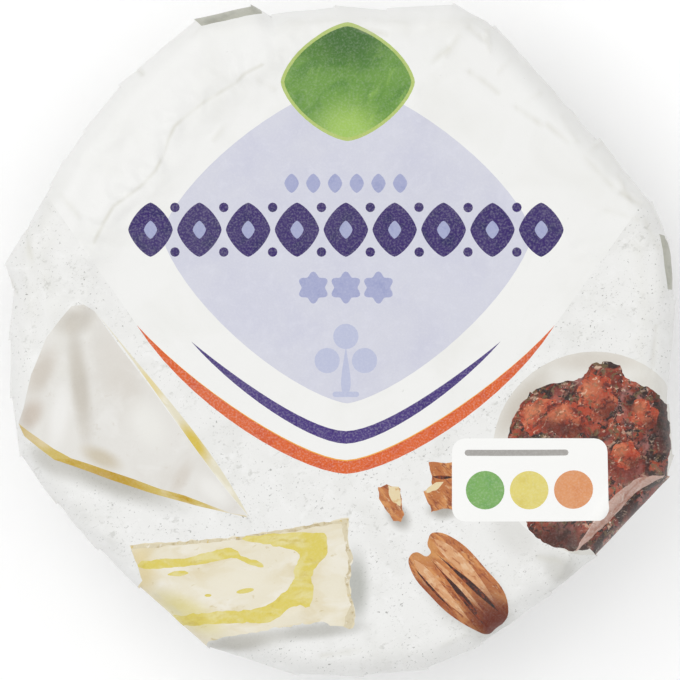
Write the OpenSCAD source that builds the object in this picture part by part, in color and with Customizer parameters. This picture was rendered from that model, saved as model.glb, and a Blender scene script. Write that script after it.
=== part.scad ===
// Camembert round, shut in its paper wrapper.
// The paper lies flat on the cheese, turns over a soft shoulder, hangs down the side in knife
// pleats and is gathered under the round. It can't be seen into, so it is one closed solid.
// Origin: middle of the base. +Z up, +Y towards the edge that carries the paper's two top corners.

/* [Cheese] */
// Diameter of the cheese under its paper
cheese_d = 106; // [80:1:140]
// Height of the wrapped round
cheese_h = 30; // [22:1:45]
// Width of the soft shoulder between the flat top and the side
shoulder_w = 5; // [3:0.5:10]
// Drop of that shoulder
shoulder_h = 7; // [4:0.5:12]
// Width of the rounded foot between the side and the base
foot_w = 5; // [3:0.5:10]
// Height of that foot
foot_h = 4.5; // [2:0.5:8]
// Rise of the top's middle above its rim
crown = 0.4; // [0:0.1:2]

/* [Paper] */
// Width of the band inside the shoulder over which the flat top reaches out to the folds
reach_w = 10; // [4:1:20]
// How far each pleat steps in behind its fold
pleat_depth = 1.1; // [0.4:0.1:2]
// Width of that step along the side
pleat_step = 0.9; // [0.5:0.1:2]
// Depth of the grooves between the gathered folds under the round
gather_depth = 0.6; // [0.2:0.1:1.5]
// Radius of the closed middle of the gather
gather_r = 12; // [6:1:20]
// Share of a pleat's depth that is already there at the top of the side
pleat_start = 0.35; // [0:0.05:1]
// How far the side draws in from its top to its foot
side_draw = 0.8; // [0:0.1:2]
// Share of the folds' standing out that is left at the foot
foot_out = 0.5; // [0:0.05:0.8]

/* [Steps] */
// Rings over the band that reaches out to the folds
reach_rings = 3; // [2:1:5]
// Rings round the shoulder
shoulder_rings = 5; // [3:1:9]
// Rings up the side
side_rings = 4; // [2:1:6]
// Rings round the foot
foot_rings = 3; // [2:1:5]

/* [Hidden] */

// The folds round the wrapper: direction in degrees, and how far the paper stands out there
FOLDS = [
    [7, 3.5], [17, 4.5], [24, 4], [38, 1.5], [64, 5.5], [71.5, 6.5], [82, 3], [91, 3],
    [102, 2.5], [105, 5], [114.5, 6], [131, 3.5], [141, 2.5], [152, 2], [167.5, 4.5], [171, 2.5],
    [180, 2.5], [190, 3], [200, 4], [210, 2], [221, 0.5], [231, 0.5], [247, 3], [263, 3.5],
    [274, 3.5], [285, 4], [295, 3], [310, 2], [320, 3], [337.5, 6.5], [341, 6], [349, 3]
];
cheese_r = cheese_d / 2;
// Each panel of paper between two folds has its tucked start, two places on it, and its fold
PANEL_STEPS = 4;
// How far round the shoulder's quarter turn, in degrees, the pleats begin
PLEAT_FROM = 20;
ring_size = len(FOLDS) * PANEL_STEPS;

function fold(i) = FOLDS[i % len(FOLDS)];
function on_circle(a, r) = r * [cos(a), sin(a)];
function eased(t) = let (c = min(max(t, 0), 1)) c * c * (3 - 2 * c);

// Fold i at a level of radius r, where the paper stands out by the share `out` of its full amount
function fold_at(i, r, out) = on_circle(fold(i)[0], r + fold(i)[1] * out);

// A fold's tucked start: a step along the panel, and in towards the middle
function tucked(from, to, depth, step) =
    let (along = (to - from) / norm(to - from), inward = -from / norm(from))
    from + along * step + inward * depth;

// One level of the wrapper, as [radius, height, share out, share of the pleats, groove height]
function ring(level) = [
    for (i = [0 : len(FOLDS) - 1])
        let (
            from = fold_at(i, level[0], level[2]),
            to = fold_at(i + 1, level[0], level[2]),
            start = tucked(from, to, pleat_depth * level[3], pleat_step * level[0] / cheese_r)
        )
        each [
            [start.x, start.y, level[1] + level[4]],
            for (t = [1 / 3, 2 / 3]) let (p = start + (to - start) * t) [p.x, p.y, level[1]],
            [to.x, to.y, level[1]]
        ]
];

// Levels from the flat top down to the closed middle of the gather
rim_r = cheese_r - shoulder_w;
reach_levels = [
    for (k = [0 : reach_rings])
        let (t = k / reach_rings, r = rim_r - reach_w * (1 - t))
        [r, cheese_h - crown * pow(r / rim_r, 2), eased(t), 0, 0]
];
shoulder_levels = [
    for (k = [1 : shoulder_rings])
        let (a = 90 * k / shoulder_rings)
        [
            cheese_r - shoulder_w * (1 - sin(a)),
            cheese_h - crown - shoulder_h * (1 - cos(a)),
            1,
            pleat_start * eased((a - PLEAT_FROM) / (90 - PLEAT_FROM)),
            0
        ]
];
side_top = cheese_h - crown - shoulder_h;
side_levels = [
    for (k = [1 : side_rings])
        let (t = k / side_rings)
        [
            cheese_r - side_draw * (1 - cos(90 * t)),
            side_top + (foot_h - side_top) * t,
            1 - (1 - foot_out) * t,
            pleat_start + (1 - pleat_start) * t,
            0
        ]
];
foot_levels = [
    for (k = [1 : foot_rings])
        let (a = 90 * k / foot_rings)
        [
            cheese_r - side_draw - foot_w * (1 - cos(a)),
            foot_h * (1 - sin(a)),
            foot_out * cos(a),
            1 - sin(a) / 2,
            gather_depth * sin(a)
        ]
];
base_r = cheese_r - side_draw - foot_w;
gather_levels = [
    [(base_r + gather_r) / 2, 0, 0, 0, gather_depth],
    [gather_r, 0, 0, 0, 0]
];
levels = concat(reach_levels, shoulder_levels, side_levels, foot_levels, gather_levels);

rings = [for (level = levels) each ring(level)];
top_middle = len(rings);
base_middle = top_middle + 1;
box_mid = [
    for (axis = [0, 1])
        let (reach = [for (p = rings) p[axis]])
        (min(reach) + max(reach)) / 2
];
centred = [for (p = rings) p - [box_mid.x, box_mid.y, 0]];
wrapper_points = concat(centred, [[0, 0, cheese_h], [0, 0, 0]]);

// Place j on ring k, counted round
function at(k, j) = k * ring_size + j % ring_size;
wrapper_faces = [
    for (j = [0 : ring_size - 1]) [top_middle, at(0, j + 1), at(0, j)],
    for (k = [0 : len(levels) - 2], j = [0 : ring_size - 1])
        each [
            [at(k, j), at(k, j + 1), at(k + 1, j + 1)],
            [at(k, j), at(k + 1, j + 1), at(k + 1, j)]
        ],
    for (j = [0 : ring_size - 1]) [base_middle, at(len(levels) - 1, j), at(len(levels) - 1, j + 1)]
];

module wrapped_cheese() {
    color("ivory") polyhedron(points = wrapper_points, faces = wrapper_faces, convexity = 4);
}

wrapped_cheese();
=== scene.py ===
"""A camembert round, shut in its printed paper wrapper.

The wrapper is made as the real one is: one sheet, printed flat, laid over the cheese, turned down
its side and gathered under it. Sizes are in millimetres up to the end of each shape, where they
become the frame's metres.
"""
import math
from collections import namedtuple

import bpy
import numpy as np
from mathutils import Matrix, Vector, kdtree
from mathutils.geometry import delaunay_2d_cdt


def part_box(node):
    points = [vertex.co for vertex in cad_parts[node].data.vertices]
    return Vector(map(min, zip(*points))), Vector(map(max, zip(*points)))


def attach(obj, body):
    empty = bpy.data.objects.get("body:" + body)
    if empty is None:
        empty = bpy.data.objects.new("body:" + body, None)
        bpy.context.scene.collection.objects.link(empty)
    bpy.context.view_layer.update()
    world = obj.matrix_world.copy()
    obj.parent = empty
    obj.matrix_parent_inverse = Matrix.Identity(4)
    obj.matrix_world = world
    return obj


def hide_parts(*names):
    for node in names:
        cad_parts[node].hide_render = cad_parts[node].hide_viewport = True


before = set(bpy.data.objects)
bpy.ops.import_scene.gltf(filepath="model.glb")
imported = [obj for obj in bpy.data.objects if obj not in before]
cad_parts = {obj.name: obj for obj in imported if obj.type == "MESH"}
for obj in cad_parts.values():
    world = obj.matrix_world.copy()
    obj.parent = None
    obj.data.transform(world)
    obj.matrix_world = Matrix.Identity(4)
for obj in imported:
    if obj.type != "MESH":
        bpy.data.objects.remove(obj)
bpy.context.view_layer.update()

MM = 0.001
NODE = "wrapped_cheese"
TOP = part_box(NODE)[1].z / MM  # the round's height

# ---------------------------------------------------------------- sizes of the wrapped round

CHEESE_R = 53.0
RIM_R = 48.0  # where the flat top ends and the shoulder begins
FLAT_R = 38.0  # inside this radius the top is round; outside it reaches out to the folds
CROWN = 0.4
SHOULDER_DROP = 7.0
FOOT_W, FOOT_H = 5.0, 4.5
SIDE_DRAW = 0.8
PLEAT_DEPTH = 1.1
PLEAT_START = 0.35  # share of the depth that is there at the top of the side
FOOT_OUT = 0.5  # share of the folds' standing out that is left at the foot
PRESSED_R = 12.0  # the gather is pressed flat inside this radius
TUCK_MAX = 4.5  # the deepest a pleat's hidden layers reach behind its fold
TUCK_SHARE = 0.3  # and the most of the way between two folds that they may take up
# Steps along the paper's path: the top, the shoulder's or foot's turn, the side and the base
TOP_STEPS, TURN_STEPS, SIDE_STEPS, BASE_STEPS = 11, 24, 8, 11

# The folds round the wrapper: direction in degrees, and how far the paper stands out there
FOLDS = [
    (7, 3.5), (17, 4.5), (24, 4), (38, 1.5), (64, 5.5), (71.5, 6.5), (82, 3), (91, 3),
    (102, 2.5), (105, 5), (114.5, 6), (131, 3.5), (141, 2.5), (152, 2), (167.5, 4.5), (171, 2.5),
    (180, 2.5), (190, 3), (200, 4), (210, 2), (221, 0.5), (231, 0.5), (247, 3), (263, 3.5),
    (274, 3.5), (285, 4), (295, 3), (310, 2), (320, 3), (337.5, 6.5), (341, 6), (349, 3),
]
fold_turn = np.radians([turn for turn, _ in FOLDS])
fold_out = np.array([out for _, out in FOLDS], float)


def eased(t):
    t = np.clip(t, 0, 1)
    return t * t * (3 - 2 * t)


# ---------------------------------------------------------------- the paper's path down the round

def profile_points():
    """The path of the paper from the middle of the top to the middle of the base, as (radius, height)."""
    quarter = np.radians(np.linspace(0, 90, TURN_STEPS + 1))
    top = [(RIM_R * t, TOP - CROWN * t * t) for t in np.linspace(0, 1, TOP_STEPS + 1)]
    side_top = TOP - CROWN - SHOULDER_DROP
    shoulder = [
        (RIM_R + (CHEESE_R - RIM_R) * math.sin(a), side_top + SHOULDER_DROP * math.cos(a))
        for a in quarter[1:]
    ]
    side = [
        (CHEESE_R - SIDE_DRAW * (1 - math.cos(t * math.pi / 2)), side_top + (FOOT_H - side_top) * t)
        for t in np.linspace(0, 1, SIDE_STEPS + 1)[1:]
    ]
    foot = [
        (CHEESE_R - SIDE_DRAW - FOOT_W * (1 - math.cos(a)), FOOT_H * (1 - math.sin(a)))
        for a in quarter[1:]
    ]
    base_r = CHEESE_R - SIDE_DRAW - FOOT_W
    under = [(base_r * (1 - t), 0) for t in np.linspace(0, 1, BASE_STEPS + 1)[1:]]
    return np.array(top + shoulder + side + foot + under)


profile = profile_points()
run_at = np.concatenate([[0], np.cumsum(np.hypot(*np.diff(profile, axis=0).T))])
# How far along the path the shoulder, the side, the foot and the base begin, and where it ends
RUN_RIM, RUN_WIDE, RUN_FOOT, RUN_BASE = run_at[np.cumsum([TOP_STEPS, TURN_STEPS, SIDE_STEPS, TURN_STEPS])]
RUN_END = run_at[-1]


def out_share(run):
    """Share of the folds' standing out at a place along the path."""
    rise = eased((run - FLAT_R) / (RUN_RIM - FLAT_R))
    side = 1 - (1 - FOOT_OUT) * np.clip((run - RUN_WIDE) / (RUN_FOOT - RUN_WIDE), 0, 1)
    foot = 1 - np.clip((run - RUN_FOOT) / (RUN_BASE - RUN_FOOT), 0, 1)
    return rise * side * foot


def pleat_share(run):
    """Share of the pleats' depth at a place along the path."""
    opening = PLEAT_START * eased((run - RUN_RIM) / (RUN_WIDE - RUN_RIM) * 1.3 - 0.3)
    side = (1 - PLEAT_START) * np.clip((run - RUN_WIDE) / (RUN_FOOT - RUN_WIDE), 0, 1)
    pressed = eased((RUN_END - run) / PRESSED_R)
    under = 1 - 0.45 * eased((run - RUN_FOOT) / (RUN_BASE - RUN_FOOT))
    return (opening + side) * under * pressed


def sector_of(turn):
    """For each direction: the fold before it, the fold after it and the share of the way between them."""
    turn = (turn - fold_turn[0]) % (2 * math.pi) + fold_turn[0]
    before = np.searchsorted(fold_turn, turn, side="right") - 1
    after = (before + 1) % len(FOLDS)
    width = (fold_turn[after] - fold_turn[before]) % (2 * math.pi)
    return before, after, (turn - fold_turn[before]) / width, width


def tuck_share(run, width):
    """Share of a sector's paper that each of a pleat's two hidden layers takes up."""
    radius = np.interp(run, run_at, profile[:, 0])
    spare = (run - radius) * width / 2
    tuck = np.minimum(np.clip(spare, 0, TUCK_MAX), TUCK_SHARE * radius * width)
    # It opens on the shoulder, 5 to 13 mm past the rim, and closes again before the pressed middle
    tuck = tuck * eased((run - RUN_RIM) / 8 - 0.6) * eased((RUN_END - run) / PRESSED_R - 0.25)
    return tuck / np.maximum(run * width, 1e-6)


def seen_radius(turn, run):
    """How far from the middle, seen from above, the paper lies for a direction and a place on its path."""
    before, after, across, _ = sector_of(turn)
    radius = np.interp(run, run_at, profile[:, 0])
    share = out_share(run)
    ends = [
        (radius + fold_out[i] * share)[..., None] * np.stack([np.cos(fold_turn[i]), np.sin(fold_turn[i])], -1)
        for i in (before, after)
    ]
    chord = np.linalg.norm(ends[0] + (ends[1] - ends[0]) * across[..., None], axis=-1)
    arc = radius + (fold_out[before] + (fold_out[after] - fold_out[before]) * across) * share
    return arc + (chord - arc) * share


RUNS = np.linspace(0, RUN_WIDE, 240)  # the part of the path that is seen from above


def flat(points):
    """Where places seen from above lie on the flat sheet."""
    laid = []
    for x, y in points:
        turn, seen = math.atan2(y, x), math.hypot(x, y)
        reach = np.maximum.accumulate(seen_radius(np.full(RUNS.shape, turn), RUNS))
        run = np.interp(seen, reach, RUNS) + max(seen - reach[-1], 0)
        laid.append((run * math.cos(turn), run * math.sin(turn)))
    return laid


# ---------------------------------------------------------------- the print's outlines, from above

MIDDLE = 0.9  # the print's middle line lies this far right of the round's
PETAL_OUT = 0.16  # how far a rosette's petals stand out, as a share of its radius
RAGGED_STEP = 0.6  # between the points of a torn or crumbly edge


def mirrored(points, middle):
    """A curve that starts at one tip, and its mirror image back to the other tip."""
    return points + [(2 * middle - x, y) for x, y in reversed(points[:-1])]


def bezier(*points, steps=14):
    """A Bezier curve through its first and last point, pulled by the others."""
    curve = []
    for t in np.linspace(0, 1, steps + 1):
        work = [np.array(p, float) for p in points]
        while len(work) > 1:
            work = [a + (b - a) * t for a, b in zip(work, work[1:])]
        curve.append(tuple(work[0]))
    return curve


def swoosh(tip, outer, inner):
    """A rounded V that is thickest at its bottom: tip and Bezier points of its outer and inner edge."""
    return mirrored(bezier(tip, *outer), MIDDLE) + mirrored(bezier(tip, *inner), MIDDLE)[-2:0:-1]


def placed(shape, x, y, turn=0):
    """A shape drawn about the origin, turned and moved to its place."""
    c, s = math.cos(math.radians(turn)), math.sin(math.radians(turn))
    return [(x + u * c - v * s, y + u * s + v * c) for u, v in shape]


def oval(x, y, half_w, half_h, turn=0, power=2, below=None, steps=32):
    """An oval, or with a lower power a lozenge with bowed sides. Its lower half may have its own height."""
    shape = []
    for a in np.linspace(0, 2 * math.pi, steps, endpoint=False):
        high = half_h if math.sin(a) >= 0 else below or half_h
        shape.append((
            half_w * math.copysign(abs(math.cos(a)) ** (2 / power), math.cos(a)),
            high * math.copysign(abs(math.sin(a)) ** (2 / power), math.sin(a)),
        ))
    return placed(shape, x, y, turn)


def rosette(x, y, radius, petals=6):
    """A flower-like disc."""
    shape = []
    for a in np.linspace(0, 2 * math.pi, petals * 8, endpoint=False):
        reach = radius * (1 + PETAL_OUT * math.cos(petals * a))
        shape.append((reach * math.cos(a), reach * math.sin(a)))
    return placed(shape, x, y, 90)


def card(x, y, half_w, half_h, corner, steps=5):
    """A rectangle with round corners."""
    shape = []
    for k, (sx, sy) in enumerate([(1, 1), (-1, 1), (-1, -1), (1, -1)]):
        for t in np.linspace(0, 1, steps + 1):
            a = math.radians(90 * (k + t))
            shape.append((
                sx * (half_w - corner) + corner * math.cos(a),
                sy * (half_h - corner) + corner * math.sin(a),
            ))
    return placed(shape, x, y)


def beside(line, gap):
    """The line that runs on the left of another, as far from it as the gap."""
    line = np.array(line, float)
    along = np.gradient(line, axis=0)
    across = np.stack([-along[:, 1], along[:, 0]], 1) / np.linalg.norm(along, axis=1)[:, None]
    return [tuple(p) for p in line + across * gap]


def tapered(width, *points, steps=12, fullest=0.5):
    """A streak along a Bezier curve, pointed at both ends and widest at its fullest."""
    curve = bezier(*points, steps=steps)
    bend = math.log(0.5) / math.log(fullest)
    half = width / 2 * np.sin(np.pi * np.linspace(0, 1, steps + 1) ** bend)[:, None]
    return beside(curve, half) + beside(curve, -half)[-2:0:-1]


def rounded(points, steps=5):
    """A closed curve that runs smoothly through all its points."""
    curve, count = [], len(points)
    for k in range(count):
        p, q, r, s = (np.array(points[(k + j) % count], float) for j in (-1, 0, 1, 2))
        for t in np.arange(steps) / steps:
            bend, turn_back = 2 * p - 5 * q + 4 * r - s, 3 * q - p - 3 * r + s
            curve.append(tuple((2 * q + (r - p) * t + bend * t * t + turn_back * t ** 3) / 2))
    return curve


def ragged(outline, amount, seed):
    """The same outline with a torn or crumbly edge."""
    line = np.array(spaced(outline, RAGGED_STEP))
    stray = np.random.default_rng(seed).normal(0, amount, line.shape)
    return [tuple(p) for p in line + (stray + np.roll(stray, 1, axis=0)) * 0.7]


def spaced(points, step, closed=True):
    """The same line with points no further apart than the step."""
    ends = points + points[:1] if closed else points
    line = []
    for a, b in zip(ends, ends[1:]):
        a, b = np.array(a, float), np.array(b, float)
        count = max(1, math.ceil(np.linalg.norm(b - a) / step))
        line += [tuple(a + (b - a) * k / count) for k in range(count)]
    return line if closed else line + [tuple(ends[-1])]


# Every field of the print: its ink and its outline. Later fields lie over earlier ones, and what
# runs past the round's edge carries on down its side.
V_EDGE = [(-24.8, -11.6), (-6.5, -21.9), (MIDDLE, -22.2)]
NUT_TURN = -43
BERRIES = [  # middle, half-width, half-height and turn of the lumps in the fruit
    (33.2, -12.6, 3.6, 2.9, 25), (37.6, -13.2, 3.4, 3, -20), (42.6, -9.4, 3.2, 3.9, 10),
    (50.2, -12.2, 2.1, 2.6, 40), (47.2, -19.2, 2.6, 2.2, -35),
]
FIELDS = [
    # A pale bowl of dark red fruit
    ("bowl", oval(42.1, -18.8, 16.9, 16.9, steps=48)),
    ("fruit", ragged(rounded([
        (27.7, -16), (29.6, -11.3), (32.1, -8.3), (36.3, -6.9), (40, -6.3), (41.7, -4), (44.2, -3.7),
        (46.3, -4.2), (47.5, -6.3), (50.8, -7.7), (53.3, -9.4), (54.6, -12.1), (55.2, -17), (54.6, -22),
        (56.5, -27), (50.5, -33.5), (44.5, -37.5), (41.5, -34.6), (37.1, -34.8), (33.3, -33.3), (30.8, -30.8),
        (29.8, -26), (28, -21),
    ], 4), 0.16, 1)),
    *[("berry", ragged(oval(*berry), 0.2, 2 + k)) for k, berry in enumerate(BERRIES)],
    # a painted highlight over the fruit, along the crest of the folded lip
    ("painted lip highlight", ragged(
        tapered(2.2, (53.6, -22.2), (47, -23.5), (43, -31), (38.6, -34.8), fullest=0.45), 0.06, 7,
    )),

    # A wedge of the same cheese from above, with its cut sides
    ("ripe edge", [
        (-53.6, -13.8), (-52.5, -15.9), (-47.5, -19.9), (-41.3, -22), (-37.5, -23.4), (-31.7, -25.3),
        (-23.8, -27.5), (-15.4, -29.4), (-30, -20), (-45, -14),
    ]),
    ("rind", [
        (-53.6, -13.8), (-52.6, -11.3), (-51.3, -5.8), (-48.8, 0.4), (-46.3, 3.6), (-44.6, 5.6), (-42.5, 5.9),
        (-40.8, 4.8), (-36.7, -1), (-31.8, -7.4), (-24.6, -17.4), (-20.3, -23.2), (-15.4, -29.2),
        (-18.3, -28.7), (-25.8, -25.8), (-30.2, -24.6), (-34.2, -23.1), (-41.7, -20.6), (-44.6, -19.7),
        (-47.5, -18.1), (-51.4, -15.3),
    ]),
    ("cut edge", tapered(1.5, (-40.8, 4.9), (-31.3, -6.9), (-22.3, -18.7), (-15.2, -29.3), fullest=0.66)),

    # A slice of it, lying on its side
    ("crumb", ragged([
        (-34.8, -34), (-28.3, -33.6), (-17, -32.6), (-10, -31.6), (-5.8, -30.7), (1.3, -29.5), (1.2, -33),
        (2, -36), (1.5, -41), (2.6, -45.8), (1.9, -47.9), (-3.3, -46.7), (-11.7, -47.9), (-18, -49),
        (-22, -50.2), (-30, -54), (-38, -47), (-33, -40),
    ], 0.13, 8)),
    ("crust", ragged([
        (0.1, -30.1), (1.3, -29.6), (1.2, -33), (2, -36), (1.5, -41), (2.6, -45.8), (1.9, -47.9),
        (0.4, -47.5), (1.6, -44), (0.7, -40), (1.3, -36), (0.5, -33),
    ], 0.13, 9)),
    ("crust", ragged([
        (-34.8, -34), (-28, -33.6), (-17, -32.6), (-8, -31.2), (1.3, -29.6), (1, -30.2), (-8, -31.7),
        (-17, -33.2), (-28, -34.1), (-34.6, -34.7),
    ], 0.08, 10)),
    ("ripe paste", ragged(rounded([
        (-15.8, -32.6), (-10, -32), (-5, -31.9), (-2.5, -32.3), (-2.2, -35.2), (-3.8, -37.5), (-5, -39.6),
        (-4.4, -41.3), (-5.2, -44.2), (-7.8, -44.1), (-11.7, -46.7), (-17.5, -47), (-22.5, -47.2),
        (-27.5, -47.6), (-28.6, -46), (-22.1, -45.2), (-15, -44.7), (-11.7, -43.7), (-9.4, -41.9),
        (-7.9, -40.2), (-7.7, -37.9), (-6.7, -36.3), (-7.9, -34.8), (-11.7, -34), (-15.8, -33.3),
    ], 3), 0.1, 11)),
    ("ripe paste", ragged(rounded([
        (-32.8, -36.7), (-26, -36.1), (-20.5, -34.8), (-17.4, -34.7), (-16.2, -35.9), (-13.1, -36.9),
        (-13.1, -37.7), (-15.5, -37), (-18.5, -36.2), (-24.2, -37.3), (-32.6, -38),
    ], 3), 0.08, 12)),
    ("ripe paste", ragged(oval(-27.1, -38.7, 1.8, 0.45, 6, steps=14), 0.06, 13)),
    ("ripe paste", oval(-15.8, -41.6, 1.5, 0.4, 10, steps=14)),
    ("ripe paste", oval(-22.1, -42.3, 0.6, 0.25, steps=10)),

    # A pecan half and two broken bits
    ("nut", rounded([
        (14.5, -33.3), (15.2, -32), (17.5, -32.2), (20.8, -34.3), (24.2, -38), (26.8, -41), (27.8, -43.7),
        (27.5, -46), (25.8, -48), (24.2, -48.7), (20.8, -47.3), (17.5, -45), (14.8, -42.3), (12.5, -39.7),
        (11.3, -37), (11.7, -35.6), (12.8, -35.2), (14.2, -35.9), (15, -35.2), (14.5, -34.2),
    ], 4)),
    ("nut ridge", tapered(1.7, (12.2, -36.4), (15, -40), (18.5, -43.5), (21.5, -46.6), fullest=0.35)),
    ("nut ridge", tapered(2.1, (15.4, -33), (18.8, -35.6), (22.6, -39.4), (26.3, -44.4), fullest=0.35)),
    ("nut ridge", tapered(1.0, (15.2, -36.2), (18, -39.2), (21, -42), (24.6, -46), fullest=0.4)),
    ("nut groove", tapered(1.0, (14.3, -35.6), (17, -38.8), (19.5, -41.2), (23.8, -47.2), fullest=0.74)),
    ("nut groove", tapered(0.95, (15.2, -34.8), (18.4, -37.8), (21.6, -40.2), (26.3, -45), fullest=0.7)),
    ("nut groove", tapered(0.4, (12.2, -37.6), (14, -40.2), (16.4, -42.4), (18.8, -45))),
    ("nut", ragged([
        (6.2, -24.3), (7.7, -24), (10, -24.7), (10.2, -28), (10.6, -29), (10.1, -30.3), (8.7, -29.9),
        (7.4, -28), (6.5, -26.3),
    ], 0.08, 14)),
    ("nut flesh", ragged([(7.9, -24.1), (9.8, -24.5), (10, -27.5), (8.8, -26.9), (8, -25.6)], 0.08, 15)),
    ("nut", ragged([
        (14.8, -20.3), (18.9, -20.3), (18.9, -28.2), (16.8, -28), (15, -28.5), (14.5, -26.7), (13.7, -25.2),
        (15.2, -24), (15.2, -22.7), (14.8, -21.7),
    ], 0.1, 16)),
    ("nut flesh", ragged([(13.8, -25.2), (15.2, -24), (17, -23.5), (16.2, -24.7), (15, -25.3)], 0.08, 17)),
    ("nut groove", tapered(0.6, (15.2, -22.6), (16.6, -22.9), (18.9, -22.7))),

    # The white field and its trim
    ("white", [(-75, 63), (-48.7, 24.2)] + mirrored(bezier((-33.8, 2.5), *V_EDGE), MIDDLE)
     + [(50.3, 23), (75, 60), (0, 110)]),
    ("orange", swoosh((-33.8, 2.5), V_EDGE, [(-23.55, -8.65), (-6, -19.7), (MIDDLE, -19.9)])),
    ("amber", swoosh((-33.8, 2.5), [(-23.6, -8.8), (-6, -19.9), (MIDDLE, -20.1)],
                     [(-23.55, -8.65), (-6, -19.7), (MIDDLE, -19.9)])),
    ("purple", swoosh((-24.8, -0.2), [(-17.4, -8.7), (-5, -17.1), (MIDDLE, -17.2)],
                      [(-16.6, -6.9), (-5, -15), (MIDDLE, -15.1)])),
    ("lavender", oval(1.1, 17.5, 30.7, 25.2, power=1.38, below=28, steps=72)),
    ("badge rim", oval(1.2, 42.8, 11.1, 9.8, power=1.5, steps=48)),
    ("badge", oval(1.2, 42.8, 10.5, 9.2, power=1.5, steps=48)),

    # Plain ornaments: small lozenges, a bold band of lozenges, three rosettes and a trefoil
    *[("mauve", oval(MIDDLE + 3.6 * k, 26, 1.2, 1.6, power=1.5, steps=16)) for k in np.arange(-2.5, 3)],
    *[("deep purple", oval(MIDDLE + 8.1 * k, 18.3, 3.7, 4.5, power=1.4)) for k in range(-4, 5)],
    *[("mauve", oval(MIDDLE + 8.1 * k, 18.3, 1.1, 1.5, power=1.4, steps=16)) for k in range(-4, 5)],
    *[("deep purple", oval(MIDDLE + 8.1 * k, y, 0.8, 0.8, steps=12))
      for k in np.arange(-3.5, 4) for y in (14.6, 22)],
    *[("mauve", rosette(MIDDLE + 5.4 * k, 8.7, 2.3)) for k in (-1, 0, 1)],
    ("pale mauve", tapered(1.6, (MIDDLE, -9.2), (MIDDLE, -6), (MIDDLE, -1), fullest=0.3)),
    *[("pale mauve", oval(MIDDLE + x, y, 2.1, 2.1, steps=24))
      for x, y in ((0, 0.6), (-3.1, -3.4), (3.1, -3.4))],
    ("pale mauve", card(MIDDLE, -9, 2.2, 0.45, 0.4, 2)),

    # A plain card with a rule and three discs
    ("card", card(31.4, -23.2, 12.9, 6.9, 2.2)),
    ("grey", card(29.2, -18.7, 8.6, 0.5, 0.45, 2)),
    ("leaf green", oval(24, -24.9, 3.2, 3.2)),
    ("straw", oval(31.3, -24.9, 3.2, 3.2)),
    ("apricot", oval(38.6, -24.9, 3.2, 3.2)),

    # Painted shade: two dark strips where the paper folds sharply down at the edge and lies in shadow
    ("painted fold shade", [(-24.4, 53.6), (-23, 52), (-13, 54.3), (-13.3, 55.9), (-24.2, 54.6)]),
    ("painted fold shade", [(52.9, 17.6), (54, 17.4), (55.6, 13), (55.4, 8.4), (54.3, 8.4), (53.6, 13)]),
]
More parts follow.
